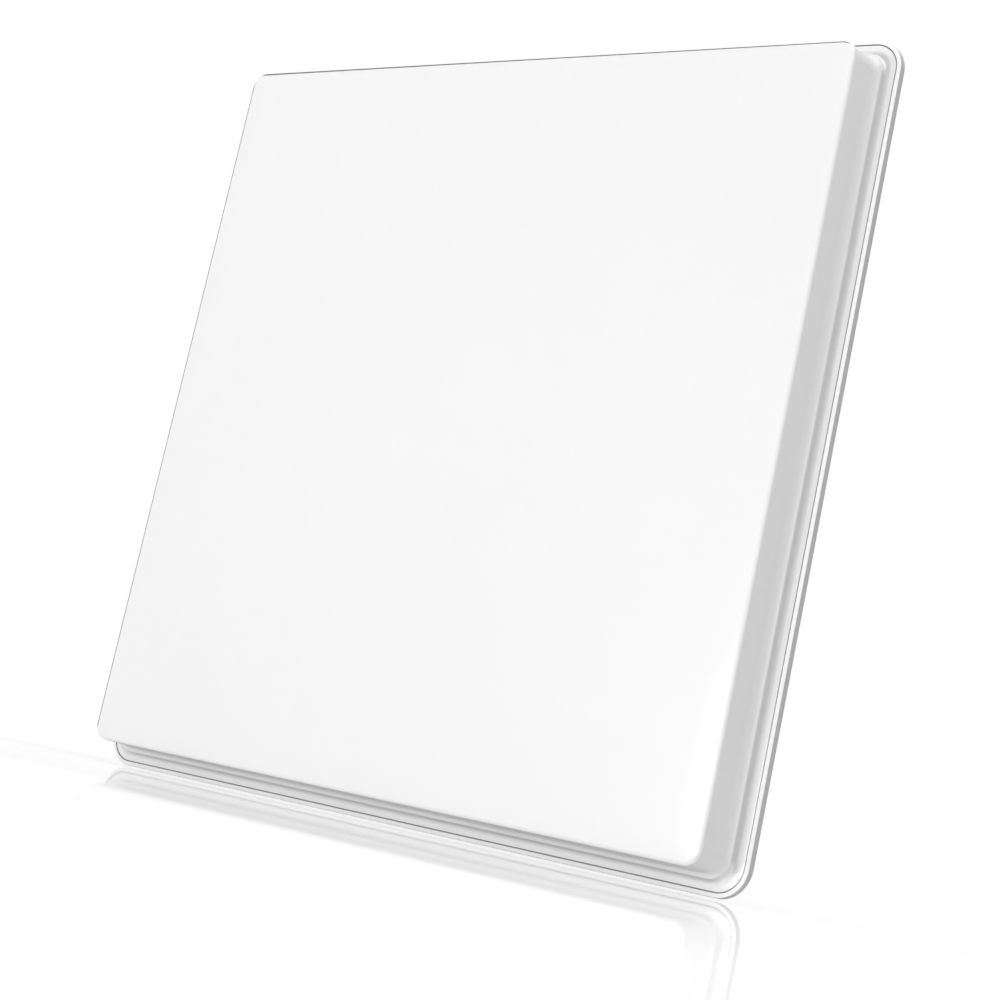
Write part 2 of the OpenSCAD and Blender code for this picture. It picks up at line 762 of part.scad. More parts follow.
module output_washers() {
    color([0.75, 0.75, 0.75])
        for (side = [-1, 1]) at_output(side, bay_top) difference() {
            cylinder(r = washer_r, h = washer_t);
            translate([0, 0, -1]) cylinder(r = output_r + fit, h = washer_t + 2);
        }
}

module output_nuts() {
    color([0.75, 0.75, 0.75])
        for (side = [-1, 1]) at_output(side, bay_top - washer_t) difference() {
            rotate(30) cylinder(r = nut_r, h = nut_t, $fn = 6);
            translate([0, 0, -1]) cylinder(r = output_core_r + fit, h = nut_t + 2);
        }
}

module output_insulators() {
    color([0.95, 0.95, 0.92])
        for (side = [-1, 1]) at_output(side, lnb_bottom - 1) difference() {
            cylinder(r = output_bore - fit, h = lnb_bottom - output_end - 1.8);
            translate([0, 0, -1]) cylinder(r = contact_r + fit, h = lnb_bottom - output_end + 2, $fn = 24);
        }
}

module output_contacts() {
    color([0.8, 0.7, 0.4])
        for (side = [-1, 1]) at_output(side, lnb_bottom + lnb_wall + 3) difference() {
            cylinder(r = contact_r, h = lnb_bottom - output_end + lnb_wall + 1.6, $fn = 24);
            translate([0, 0, lnb_bottom - output_end + lnb_wall - 6])
                cylinder(r = 0.45, h = 10, $fn = 24);
        }
}

radome();
foam_spacer();
horn_plate();
feed_plate_front();
feed_plate_rear();
back_plate();
stack_screws();
rim_seal();
rear_case();
case_screws();
array_screws();
mount_plate();
mount_inserts();
plate_screws();
vent_plug();
lnb_body();
lnb_board();
lnb_cover();
lnb_gasket();
lnb_probes();
lnb_screws();
output_body_left();
output_body_right();
output_seals();
output_washers();
output_nuts();
output_insulators();
output_contacts();
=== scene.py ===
"""Flat satellite antenna: finishes, fine surfaces, floor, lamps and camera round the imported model."""

import math

import bmesh
import bpy
import numpy as np
from mathutils import Matrix, Vector


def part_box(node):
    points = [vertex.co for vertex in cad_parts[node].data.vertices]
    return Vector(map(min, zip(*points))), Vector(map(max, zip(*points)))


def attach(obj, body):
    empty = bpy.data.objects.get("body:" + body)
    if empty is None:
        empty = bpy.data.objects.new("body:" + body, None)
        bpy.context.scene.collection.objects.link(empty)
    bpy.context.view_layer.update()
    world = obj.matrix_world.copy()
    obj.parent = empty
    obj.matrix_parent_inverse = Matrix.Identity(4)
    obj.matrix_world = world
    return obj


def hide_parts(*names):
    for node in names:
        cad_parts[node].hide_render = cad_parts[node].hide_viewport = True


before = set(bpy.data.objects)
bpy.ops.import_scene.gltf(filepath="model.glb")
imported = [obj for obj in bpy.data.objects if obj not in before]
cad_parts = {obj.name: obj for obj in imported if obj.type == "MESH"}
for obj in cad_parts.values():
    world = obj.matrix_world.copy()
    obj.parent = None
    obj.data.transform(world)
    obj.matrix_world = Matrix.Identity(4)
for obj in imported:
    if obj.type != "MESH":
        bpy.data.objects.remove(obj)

bl_info = {
    "name": "Flat satellite antenna",
    "version": (1, 0, 0),
    "blender": (4, 5, 0),
    "location": "View3D > Sidebar > Antenna",
    "description": "Dresses a flat satellite antenna in weatherproof plastic and plated metal",
    "category": "Object",
}

MM = 0.001
BODY = "root"

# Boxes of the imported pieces. The antenna faces -Y, and its lip lies round the cover's flange.
CASE_LOW, CASE_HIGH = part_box("rear_case")
COVER_LOW, COVER_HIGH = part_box("radome")
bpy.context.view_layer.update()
HALF_W = (CASE_HIGH.x - CASE_LOW.x) / 2
HALF_H = (CASE_HIGH.z - CASE_LOW.z) / 2
LIP_Y = CASE_LOW.y
FACE_Y = COVER_LOW.y
FLANGE_BASE_Y = COVER_HIGH.y
CORNER = 20 * MM

# Steps of the carried and turned surfaces
CORNER_STEPS = 14
SIDE_STEPS = 10
TURNED_COLUMNS = 48
STEPS_PER_TURN = 10

# Angles above which an edge stays sharp
SHARP = math.radians(35)
SHARP_COPY = math.radians(32)
SHARP_TURNED = math.radians(40)

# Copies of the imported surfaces: doubles to merge, flat regions to join, edges to break
DOUBLES = 2e-6
FLAT = math.radians(0.6)
BROKEN = math.radians(40)
CASE_BEVEL = 0.25 * MM

WHITE = (1.0, 1.0, 1.0)
BLACK = (0.0, 0.0, 0.0)
PLASTIC_IOR = 1.49


def length_setting(name, description, default):
    return bpy.props.FloatProperty(
        name=name, description=description, default=default, unit="LENGTH", precision=5
    )


def angle_setting(name, description, degrees):
    return bpy.props.FloatProperty(
        name=name, description=description, default=math.radians(degrees), subtype="ANGLE"
    )


def number_setting(name, description, default):
    return bpy.props.FloatProperty(name=name, description=description, default=default)


def colour_setting(name, description, default):
    return bpy.props.FloatVectorProperty(
        name=name, description=description, subtype="COLOR", default=default
    )


class CoverSizes(bpy.types.PropertyGroup):
    """Section of the front cover, as insets from the lip's outer side and heights over the flange"""

    wall: length_setting("Wall", "Thickness of the moulding", 2.5 * MM)
    block_inset: length_setting("Block inset", "Inset of the block's side at its foot", 13.5 * MM)
    block_radius: length_setting("Block corner", "Corner radius of the block at its foot", 12 * MM)
    draft: angle_setting("Draft", "Lean of the block's sides", 2)
    front_round: length_setting("Front rounding", "Rounding of the front edge", 2.6 * MM)
    foot_inset: length_setting("Foot inset", "Inset of the foot's outer side", 9.5 * MM)
    foot_height: length_setting("Foot height", "Height of the foot's outer edge", 5.4 * MM)
    foot_rise: length_setting("Ledge rise", "Rise of the foot's sloping ledge", 1.3 * MM)
    foot_fillet: length_setting("Foot fillet", "Hollow between the foot and the flange", 2.2 * MM)
    foot_round: length_setting("Foot rounding", "Rounding of the foot's outer edge", 1.0 * MM)
    ledge: length_setting("Ledge width", "Width of the foot's sloping ledge", 2.6 * MM)
    cove: length_setting("Cove height", "Height of the hollow band over the ledge", 4.2 * MM)
    flange: length_setting("Flange thickness", "Thickness of the flange in the lip", 2.3 * MM)
    flange_round: length_setting("Flange rounding", "Rounding of the flange's outer edge", 0.35 * MM)


class ThreadSizes(bpy.types.PropertyGroup):
    """Threads of the sockets and of the bracket inserts"""

    socket_radius: length_setting("Socket radius", "Over the socket's thread", 4.76 * MM)
    socket_depth: length_setting("Socket thread depth", "Depth of the socket's thread", 0.45 * MM)
    socket_pitch: length_setting("Socket pitch", "32 turns to the inch", 25.4 / 32 * MM)
    socket_bore: length_setting("Socket bore", "Radius of the socket's bore", 3.6 * MM)
    socket_collar: length_setting("Socket collar", "Thickness of the collar inside the case", 1.5 * MM)
    insert_radius: length_setting("Insert radius", "Outer radius of an insert", 4.5 * MM)
    insert_bore: length_setting("Insert bore", "Radius inside the insert's thread", 2.5 * MM)
    insert_pitch: length_setting("Insert pitch", "Pitch of the bracket's bolts", 1.0 * MM)


class Finishes(bpy.types.PropertyGroup):
    """Colours of the pieces that show"""

    cover: colour_setting("Cover", "White of the front cover", (0.90, 0.90, 0.90))
    case: colour_setting("Case", "Light grey of the rear case", (0.60, 0.595, 0.62))
    zinc: colour_setting("Zinc", "Plated steel", (0.55, 0.57, 0.60))
    nickel: colour_setting("Nickel", "Plated sockets", (0.72, 0.70, 0.66))
    brass: colour_setting("Brass", "Turned inserts and pins", (0.72, 0.55, 0.24))


class Studio(bpy.types.PropertyGroup):
    """Where the camera stands, and the level of the lamps"""

    azimuth: angle_setting("Azimuth", "Camera's place round the antenna", 37.27)
    rise: angle_setting("Rise", "How far the view climbs", 9.79)
    roll: angle_setting("Roll", "Turn of the camera about its view", 12.14)
    place: bpy.props.FloatVectorProperty(
        name="Place", description="Camera's place", default=(0.8568, -1.0947, -0.2456), subtype="XYZ"
    )
    focal: number_setting("Focal length", "In widths of the picture", 2.0895)
    shift: bpy.props.FloatVectorProperty(
        name="Shift", description="Shift of the lens, in widths of the picture", size=2,
        default=(-0.0217, -0.0471),
    )
    sky: number_setting("Sky", "Level of the light from all round", 0.265)
    key: number_setting("Key", "Power of the front lamp in watts", 21.9)
    side: number_setting("Side", "Power of the lamp on the right in watts", 4.2)
    top: number_setting("Top", "Power of the lamp overhead in watts", 23.0)
    back: number_setting("Back", "Power of the lamp behind in watts", 30.0)


class Value:
    """A socket's value. Its operators add the Math nodes that work the expression out."""

    def __init__(self, graph, socket):
        self.graph = graph
        self.socket = socket

    def math(self, operation, *others):
        node = self.graph.node("ShaderNodeMath", {"operation": operation})
        for place, item in enumerate((self, *others)):
            self.graph.fill(node.inputs[place], item)
        return Value(self.graph, node.outputs[0])

    def __add__(self, other):
        return self.math("ADD", other)

    __radd__ = __add__

    def __sub__(self, other):
        return self.math("SUBTRACT", other)

    def __rsub__(self, other):
        return self.math("MULTIPLY", -1.0) + other

    def __mul__(self, other):
        return self.math("MULTIPLY", other)

    __rmul__ = __mul__

    def __truediv__(self, other):
        return self.math("DIVIDE", other)

    def fraction(self):
        return self.math("FRACT")

    def absolute(self):
        return self.math("ABSOLUTE")

    def root(self):
        return self.math("SQRT")

    def above(self, edge):
        return self.math("GREATER_THAN", edge)

    def below(self, edge):
        return self.math("LESS_THAN", edge)

    def larger(self, other):
        return self.math("MAXIMUM", other)

    def smaller(self, other):
        return self.math("MINIMUM", other)

    def clamp(self):
        return self.smaller(1.0).larger(0.0)

    def ramp(self, start, stop):
        """0 at start, 1 at stop, straight between them"""
        return ((self - start) / (stop - start)).clamp()


class Graph:
    """A node tree, emptied, with the one method that adds its nodes"""

    def __init__(self, tree):
        self.tree = tree
        tree.nodes.clear()

    def node(self, kind, settings=None, **inputs):
        """Settings are the node's own attributes, and inputs are sockets by name, with _ for a space"""
        node = self.tree.nodes.new(kind)
        for name, value in (settings or {}).items():
            setattr(node, name, value)
        for name, value in inputs.items():
            self.fill(node.inputs[name.replace("_", " ")], value)
        return node

    def fill(self, socket, value):
        """Links a value or a socket to the given socket, or sets a number or colour on it"""
        if isinstance(value, Value):
            value = value.socket
        if isinstance(value, bpy.types.NodeSocket):
            self.tree.links.new(value, socket)
        elif hasattr(value, "__len__") and socket.type == "RGBA":
            socket.default_value = (*value[:3], 1.0)
        else:
            socket.default_value = value

    def read(self, node, name):
        """The value that leaves a node at the named socket"""
        return Value(self, node.outputs[name])


class Finish(Graph):
    """One material, with the few steps that every finish here is made of"""

    def __init__(self, name):
        self.material = bpy.data.materials.new(name)
        self.material.use_nodes = True
        super().__init__(self.material.node_tree)
        self.place = self.node("ShaderNodeTexCoord").outputs["Object"]

    def stretched(self, x, y, z):
        """Object coordinates multiplied by one number along each axis"""
        return self.node("ShaderNodeMapping", Vector=self.place, Scale=(x, y, z)).outputs["Vector"]

    def axes(self):
        """Object coordinates as three values"""
        node = self.node("ShaderNodeSeparateXYZ", Vector=self.place)
        return [Value(self, socket) for socket in node.outputs]

    def grazing(self, start, stop):
        """0 where the surface faces the view, 1 where it turns away from it"""
        weight = self.node("ShaderNodeLayerWeight", Blend=0.5)
        return self.read(weight, "Facing").ramp(start, stop)

    def edge_inset(self):
        """Distance inwards from the plate's rounded outline, the same all the way round it"""
        x, _, z = self.axes()
        over_x = x.absolute() - (HALF_W - CORNER)
        over_z = z.absolute() - (HALF_H - CORNER)
        out_x, out_z = over_x.larger(0.0), over_z.larger(0.0)
        round_part = (out_x * out_x + out_z * out_z).root()
        flat_part = over_x.larger(over_z).smaller(0.0)
        return CORNER - round_part - flat_part

    def noise(self, scale, detail=2.0, roughness=0.5, vector=None):
        """Cloudy value about 0.5, with so many clouds to the metre"""
        node = self.node(
            "ShaderNodeTexNoise", Vector=vector or self.place, Scale=scale, Detail=detail,
            Roughness=roughness,
        )
        return self.read(node, "Fac")

    def cells(self, scale, feature="F1"):
        """Distance to the middle of the nearest cell"""
        node = self.node("ShaderNodeTexVoronoi", {"feature": feature}, Vector=self.place, Scale=scale)
        return self.read(node, "Distance")

    def crystals(self, scale):
        """One number for each cell, spread evenly from 0 to 1"""
        cells = self.node("ShaderNodeTexVoronoi", Vector=self.place, Scale=scale)
        return self.read(self.node("ShaderNodeSeparateColor", Color=cells.outputs["Color"]), "Red")

    def blend(self, factor, first, second):
        """Colour between two, through the sockets that a Mix node has for colours"""
        node = self.node("ShaderNodeMix", {"data_type": "RGBA"})
        for place, value in ((0, factor), (6, first), (7, second)):
            self.fill(node.inputs[place], value)
        return node.outputs[2]

    def bump(self, height, depth, strength, under=None):
        """Normal of a skin raised by the height times the depth, on top of another skin's normal"""
        node = self.node("ShaderNodeBump", Strength=strength, Distance=depth, Height=height)
        if under is not None:
            self.fill(node.inputs["Normal"], under)
        return node.outputs["Normal"]

    def principled(self, **inputs):
        return self.node("ShaderNodeBsdfPrincipled", **inputs).outputs[0]

    def show(self, shader):
        self.node("ShaderNodeOutputMaterial", Surface=shader)
        return self.material

    def surface(self, **inputs):
        return self.show(self.principled(**inputs))


def tinted(colour, factor):
    """The colour times a factor, with no channel over 1"""
    return tuple(min(1.0, channel * factor) for channel in colour)


def cover_plastic(colour):
    """Satin white cover: a faint cloudiness and a fine skin, with the dark joint, a painted shade line
    on the left and top front rounding where it turns away from the view, and painted shade in the
    hollow of the foot"""
    joint_start, joint_full, joint_share = 3.7 * MM, 3.35 * MM, 0.75
    joint_tone, painted_edge_shade_tone, painted_corner_shade_tone = (0.05, 0.05, 0.05), (0.04, 0.04, 0.045), (0.30, 0.30, 0.31)
    round_depth, round_inset = (1.5 * MM, 1.1 * MM), (16.6 * MM, 16.2 * MM)
    turned_away = (0.38, 0.48)
    corner_shade_outer, corner_shade_inner, corner_shade_share = (6.3 * MM, 8.6 * MM), (10.3 * MM, 9.5 * MM), 0.34
    finish = Finish("cover_plastic")
    tone = finish.blend(finish.noise(7.0, 3.0), tinted(colour, 0.985), tinted(colour, 1.015))
    inset = finish.edge_inset()
    tone = finish.blend(inset.ramp(joint_start, joint_full) * joint_share, tone, joint_tone)
    x, y, z = finish.axes()
    left_or_top = (x.below(CORNER - HALF_W) + z.above(HALF_H - CORNER)).clamp()
    rounding = y.ramp(FACE_Y + round_depth[0], FACE_Y + round_depth[1]) * inset.ramp(*round_inset)
    # Painted shade: a thin dark line on the left and top front rounding, darkest where it turns away
    # from the view
    edge = rounding * left_or_top * finish.grazing(*turned_away)
    tone = finish.blend(edge, tone, painted_edge_shade_tone)
    # Painted shade: the hollow between the foot and the flange is darkened in the colour
    painted_corner_shade = inset.ramp(*corner_shade_outer) * inset.ramp(*corner_shade_inner) * corner_shade_share
    tone = finish.blend(painted_corner_shade, tone, painted_corner_shade_tone)
    skin = finish.bump(finish.noise(2600.0, 2.0, 0.6), 0.02 * MM, 0.35)
    swell = finish.bump(finish.noise(38.0), 0.4 * MM, 0.05, skin)
    roughness = 0.40 + 0.10 * finish.noise(900.0)
    return finish.surface(
        Base_Color=tone, Roughness=roughness, Normal=swell, IOR=PLASTIC_IOR,
        Coat_Weight=0.5, Coat_Roughness=0.14,
    )


def case_plastic(colour):
    """Spark-eroded light grey plastic of the rear case: small pits, duller than the cover, and
    white on the front of the lip"""
    lip_tone, lip_grey, lip_white = (0.97, 0.97, 0.97), LIP_Y + 0.5 * MM, LIP_Y + 0.2 * MM
    finish = Finish("case_plastic")
    tone = finish.blend(finish.noise(9.0, 3.0), tinted(colour, 0.98), tinted(colour, 1.02))
    tone = finish.blend(finish.axes()[1].ramp(lip_grey, lip_white), tone, lip_tone)
    pits = finish.bump(finish.cells(1500.0, "SMOOTH_F1"), 0.05 * MM, 0.45)
    swell = finish.bump(finish.noise(30.0), 0.4 * MM, 0.06, pits)
    roughness = 0.50 + 0.12 * finish.noise(700.0)
    return finish.surface(Base_Color=tone, Roughness=roughness, Normal=swell, IOR=PLASTIC_IOR)


def plated_steel(name, colour, spangle, roughness):
    """Zinc: crystals a few millimetres wide that differ a little in tone and gloss"""
    finish = Finish(name)
    patch = finish.crystals(spangle)
    wipe = finish.noise(60.0, 4.0, 0.6)
    tone = finish.blend(patch * 0.6 + wipe * 0.4, tinted(colour, 0.88), tinted(colour, 1.10))
    normal = finish.bump(finish.noise(1800.0, 3.0), 0.03 * MM, 0.3)
    gloss = roughness + 0.14 * patch + 0.06 * wipe
    return finish.surface(Base_Color=tone, Metallic=1.0, Roughness=gloss, Normal=normal)


def turned_metal(name, colour, roughness, axis):
    """Turned metal: fine tool marks that follow each other along the axis, and faint stains"""
    spacing = 0.4 * MM
    finish = Finish(name)
    place = finish.axes()["xyz".index(axis)]
    marks = ((place / spacing).fraction() - 0.5).absolute()
    stain = finish.noise(240.0, 3.0)
    tone = finish.blend(stain, tinted(colour, 0.86), tinted(colour, 1.08))
    normal = finish.bump(marks, 0.01 * MM, 0.25)
    gloss = roughness + 0.12 * stain
    return finish.surface(Base_Color=tone, Metallic=1.0, Roughness=gloss, Normal=normal)


def cast_metal(name, colour):
    """Die casting: dull grain with darker flow marks"""
    finish = Finish(name)
    flow = finish.noise(22.0, 5.0, 0.65, finish.stretched(1.0, 1.0, 0.35))
    grain = finish.noise(1400.0, 3.0)
    tone = finish.blend(flow, tinted(colour, 0.82), tinted(colour, 1.10))
    normal = finish.bump(grain, 0.06 * MM, 0.4)
    gloss = 0.42 + 0.16 * grain
    return finish.surface(Base_Color=tone, Metallic=1.0, Roughness=gloss, Normal=normal)


def rubber(name, colour):
    """Moulded rubber with a light bloom"""
    finish = Finish(name)
    bloom = finish.noise(90.0, 4.0)
    tone = finish.blend(bloom, colour, tinted(tuple(channel + 0.02 for channel in colour), 1.5))
    normal = finish.bump(finish.noise(1600.0), 0.04 * MM, 0.4)
    return finish.surface(Base_Color=tone, Roughness=0.62 + 0.15 * bloom, Normal=normal)


def grained(name, colour, scale, depth, roughness):
    """Dull plastic or foam with an even grain"""
    finish = Finish(name)
    grain = finish.cells(scale)
    tone = finish.blend(finish.noise(40.0, 3.0), tinted(colour, 0.93), tinted(colour, 1.05))
    normal = finish.bump(grain, depth, 0.5)
    return finish.surface(Base_Color=tone, Roughness=roughness + 0.1 * grain, Normal=normal)


def circuit_board():
    """Green solder mask over copper tracks on a raster"""
    column, row = 4.2 * MM, 6.1 * MM
    finish = Finish("board")
    x, _, z = finish.axes()
    across = ((x / column).fraction() - 0.5).absolute()
    along = ((z / row).fraction() - 0.5).absolute()
    broken = finish.noise(120.0, 1.0)
    tracks = (across.below(0.09) + along.below(0.07)).clamp() * broken.above(0.48)
    tone = finish.blend(tracks, (0.03, 0.20, 0.09), (0.07, 0.36, 0.16))
    normal = finish.bump(tracks, 0.04 * MM, 0.6)
    return finish.surface(Base_Color=tone, Roughness=0.28 + 0.1 * broken, Normal=normal)


def arc(centre_inset, centre_height, radius, start, stop, steps):
    """Points at equal angles on a circle, as two arrays: inset and height"""
    turn = np.radians(np.linspace(start, stop, steps + 1))
    return centre_inset - radius * np.cos(turn), centre_height + radius * np.sin(turn)


def ring(inset, corner):
    """Rounded rectangle, anticlockwise: four quarter circles joined by evenly cut straight sides"""
    half_w, half_h = HALF_W - inset, HALF_H - inset
    corner = min(corner, half_w, half_h)
    quarters = []
    for quarter, (side_x, side_z) in enumerate(((1, 1), (-1, 1), (-1, -1), (1, -1))):
        turn = np.radians(90 * quarter + np.linspace(0, 90, CORNER_STEPS + 1))
        x = side_x * (half_w - corner) + corner * np.cos(turn)
        z = side_z * (half_h - corner) + corner * np.sin(turn)
        quarters.append(np.stack([x, z], 1))
    share = np.linspace(0, 1, SIDE_STEPS + 1)[1:-1, None]
    joined = []
    for points, following in zip(quarters, quarters[1:] + quarters[:1]):
        begin, end = points[-1], following[0]
        joined += [points, begin + (end - begin) * share]
    return np.concatenate(joined)


def mesh_object(name, vertices, faces, material, sharp=SHARP):
    """A mesh at the origin, smooth shaded, with edges sharp where two faces meet above the angle"""
    mesh = bpy.data.meshes.new(name)
    mesh.from_pydata(vertices, [], faces)
    mesh.validate()
    mesh.materials.append(material)
    return shaded_object(name, mesh, sharp)


def shaded_object(name, mesh, sharp):
    """An object of the mesh in the scene, smooth but for edges over the angle"""
    mesh.shade_smooth()
    mesh.set_sharp_from_angle(angle=sharp)
    piece = bpy.data.objects.new(name, mesh)
    bpy.context.scene.collection.objects.link(piece)
    return piece


def grid_faces(rows, columns):
    """Quads between neighbouring rows of a grid whose columns close on themselves"""
    row = np.arange(rows - 1)[:, None] * columns
    column = np.arange(columns)[None, :]
    after = (column + 1) % columns
    quads = np.stack([row + column, row + columns + column, row + columns + after, row + after], -1)
    return quads.reshape(-1, 4).tolist()


def carried_shell(name, insets, heights, corners, material):
    """A section carried round the plate: row i of the grid is the rounded rectangle at inset i, with
    corner radius i, at height i over the lip's plane. Its two ends close on a centre point each."""
    rows = [ring(inset, corner) for inset, corner in zip(insets, corners)]
    columns = len(rows[0])
    vertices = np.concatenate([
        np.stack([row[:, 0], np.full(columns, LIP_Y - height), row[:, 1]], 1)
        for row, height in zip(rows, heights)
    ])
    first, last = len(vertices), len(vertices) + 1
    poles = np.array([[0, LIP_Y - heights[0], 0], [0, LIP_Y - heights[-1], 0]])
    end = (len(rows) - 1) * columns
    faces = grid_faces(len(rows), columns)
    faces += [[first, k, (k + 1) % columns] for k in range(columns)]
    faces += [[last, end + (k + 1) % columns, end + k] for k in range(columns)]
    return mesh_object(name, np.concatenate([vertices, poles]).tolist(), faces, material)


def thread_radius(along, turn, start, stop, pitch, root, crest):
    """Radius of a one-start thread at the given places along its axis and angles round it"""
    flank_slope, flank_start, runout = 1.6, 0.3, 0.7
    phase = (along / pitch - turn / (2 * np.pi)) % 1.0
    flank = np.clip(flank_slope * (1.0 - np.abs(2 * phase - 1)) - flank_start, 0.0, 1.0)
    fade = np.clip(np.minimum(along - start, stop - along) / (runout * pitch), 0.0, 1.0)
    return root + (crest - root) * flank * fade


def turned_loop(before, thread, after):
    """Closed section turned round an axis, with a thread between its two plain parts. The parts
    are lists of (place along the axis, radius), and thread is (start, stop, pitch, root, crest)."""
    start, stop, pitch, root, crest = thread
    turn = np.linspace(0, 2 * np.pi, TURNED_COLUMNS, endpoint=False)
    count = int(round(abs(stop - start) / pitch * STEPS_PER_TURN))
    places = np.linspace(start, stop, count + 1)
    low, high = min(start, stop), max(start, stop)
    cut = thread_radius(places[:, None], turn[None, :], low, high, pitch, root, crest)
    rows = [(place, np.full(TURNED_COLUMNS, radius)) for place, radius in before]
    rows += list(zip(places, cut))
    rows += [(place, np.full(TURNED_COLUMNS, radius)) for place, radius in after]
    along = np.array([np.full(TURNED_COLUMNS, place) for place, _ in rows])
    around = np.array([radii for _, radii in rows])
    return along, around * np.cos(turn), around * np.sin(turn)


def loop_faces(rows, columns):
    """Quads of a grid that closes on itself both ways"""
    row, column = np.meshgrid(np.arange(rows), np.arange(columns), indexing="ij")
    after_row, after = (row + 1) % rows, (column + 1) % columns
    corners = (row, column), (after_row, column), (after_row, after), (row, after)
    return np.stack([r * columns + c for r, c in corners], -1).reshape(-1, 4)


def signed_volume(vertices, quads):
    """Volume inside a closed surface, above 0 where its quads face outward: a sixth of the sum,
    over the two triangles of each quad, of one corner times the cross product of the other two"""
    a, b, c, d = (vertices[quads[:, k]] for k in range(4))
    halves = np.einsum("ij,ij->i", a, np.cross(b, c)) + np.einsum("ij,ij->i", a, np.cross(c, d))
    return halves.sum() / 6


def turned_piece(name, loops, material):
    """One object from closed turned loops, each given as its vertices' grid, with faces outward"""
    all_vertices, all_faces, count = [], [], 0
    for grid in loops:
        rows, columns = grid.shape[:2]
        vertices = grid.reshape(-1, 3)
        quads = loop_faces(rows, columns)
        if signed_volume(vertices, quads) < 0:
            quads = quads[:, ::-1]
        all_vertices.append(vertices)
        all_faces += (quads + count).tolist()
        count += len(vertices)
    return mesh_object(name, np.concatenate(all_vertices).tolist(), all_faces, material, SHARP_TURNED)


def cover_section(sizes):
    """Inset, height and corner radius along the cover's section: from the middle of the face over
    the front rounding, the leaning side, the cove, the ledge and the foot to the flange, then back
    along the inside at one wall's distance."""
    draft, wall, fillet = sizes.draft, sizes.wall, sizes.foot_fillet
    foot_round, flange_round = sizes.foot_round, sizes.flange_round
    face = LIP_Y - FACE_Y
    flange_base = LIP_Y - FLANGE_BASE_Y
    flange_top = flange_base + sizes.flange
    flange_edge = HALF_W - COVER_HIGH.x
    foot_z = flange_top + sizes.foot_height
    crease = sizes.foot_inset + sizes.ledge
    crease_z = foot_z + sizes.foot_rise
    cove_top = crease_z + sizes.cove
    top_inset = sizes.block_inset + (face - cove_top) * math.tan(draft)
    round_inset = top_inset + sizes.front_round * (1 - math.sin(draft)) / math.cos(draft)

    # The cove's arc starts tangent to the leaning side and ends at the crease
    lean = math.atan2(sizes.block_inset - crease, sizes.cove)
    chord = math.hypot(sizes.block_inset - crease, sizes.cove)
    hollow = chord / (2 * math.sin(lean - draft))
    hollow_inset = sizes.block_inset - hollow * math.cos(draft)
    hollow_z = cove_top + hollow * math.sin(draft)
    end = math.degrees(math.atan2(crease_z - hollow_z, hollow_inset - crease)) % 360

    side = math.degrees(draft)
    middle_insets = np.array([0.20, 0.12, 0.06, 0.032])
    outside = [
        (middle_insets, np.full(4, face)),
        arc(round_inset, face - sizes.front_round, sizes.front_round, 90, side, 10),
        arc(hollow_inset, hollow_z, hollow, 180 + side, end, 8),
        arc(sizes.foot_inset + foot_round, foot_z - 0.9 * foot_round, foot_round, 62, 0, 6),
        arc(sizes.foot_inset - fillet, flange_top + fillet, fillet, 180, 270, 8),
    ]
    flange = [
        arc(flange_edge + flange_round, flange_top - flange_round, flange_round, 90, 0, 4),
        ([flange_edge, sizes.foot_inset - fillet], [flange_base, flange_base]),
    ]
    inner_front = face - wall
    inside = [
        (sizes.foot_inset + wall, flange_base),
        (sizes.foot_inset + wall, foot_z - wall),
        (crease + wall, crease_z - 0.8 * wall),
        (sizes.block_inset + wall, cove_top - 0.4 * wall),
        (top_inset + wall, inner_front - 0.5 * sizes.front_round),
        (top_inset + wall + 0.5 * sizes.front_round, inner_front),
        (0.06, inner_front),
        (0.20, inner_front),
    ]
    parts = [*outside, *flange, tuple(zip(*inside))]
    insets = np.concatenate([part[0] for part in parts])
    heights = np.concatenate([part[1] for part in parts])

    # The flange's corners share the lip's centre, and all others the block's
    begin = sum(len(part[0]) for part in outside)
    stop = begin + sum(len(part[0]) for part in flange)
    block_centre, least = sizes.block_inset + sizes.block_radius, 1.5 * MM
    corners = np.maximum(block_centre - insets, least)
    corners[begin:stop] = CORNER - insets[begin:stop]
    return insets, heights, corners


def register_piece(piece, slot, *nodes):
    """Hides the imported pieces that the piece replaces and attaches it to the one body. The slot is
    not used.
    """
    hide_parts(*nodes)
    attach(piece, BODY)


def dressed_copy(name, node, material, bevel):
    """The CAD node's own surface with its doubles merged, flat regions joined and edges broken"""
    work = bmesh.new()
    work.from_mesh(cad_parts[node].data)
    bmesh.ops.remove_doubles(work, verts=work.verts, dist=DOUBLES)
    bmesh.ops.dissolve_limit(
        work, angle_limit=FLAT, verts=work.verts, edges=work.edges, use_dissolve_boundaries=False
    )
    mesh = bpy.data.meshes.new(name)
    work.to_mesh(mesh)
    work.free()
    mesh.materials.clear()
    mesh.materials.append(material)
    piece = shaded_object(name, mesh, SHARP_COPY)
    edges = piece.modifiers.new("broken_edges", "BEVEL")
    edges.width = bevel
    edges.segments = 2
    edges.limit_method = "ANGLE"
    edges.angle_limit = BROKEN
    normals = piece.modifiers.new("flat_faces", "WEIGHTED_NORMAL")
    normals.weight = 100
    normals.keep_sharp = True
    return piece


class ANTENNA_OT_cover(bpy.types.Operator):
    """Make the front cover as one closed shell"""

    bl_idname = "antenna.cover"
    bl_label = "Front cover"

    def execute(self, context):
        section = cover_section(context.scene.antenna_cover)
        plastic = cover_plastic(context.scene.antenna_finishes.cover)
        register_piece(carried_shell("front_cover", *section, plastic), "cover_plastic", "radome")
        return {"FINISHED"}


class ANTENNA_OT_case(bpy.types.Operator):
    """Make the rear case"""

    bl_idname = "antenna.case"
    bl_label = "Rear case"

    def execute(self, context):
        plastic = case_plastic(context.scene.antenna_finishes.case)
        piece = dressed_copy("rear_shell", "rear_case", plastic, CASE_BEVEL)
        register_piece(piece, "case_plastic", "rear_case")
        return {"FINISHED"}


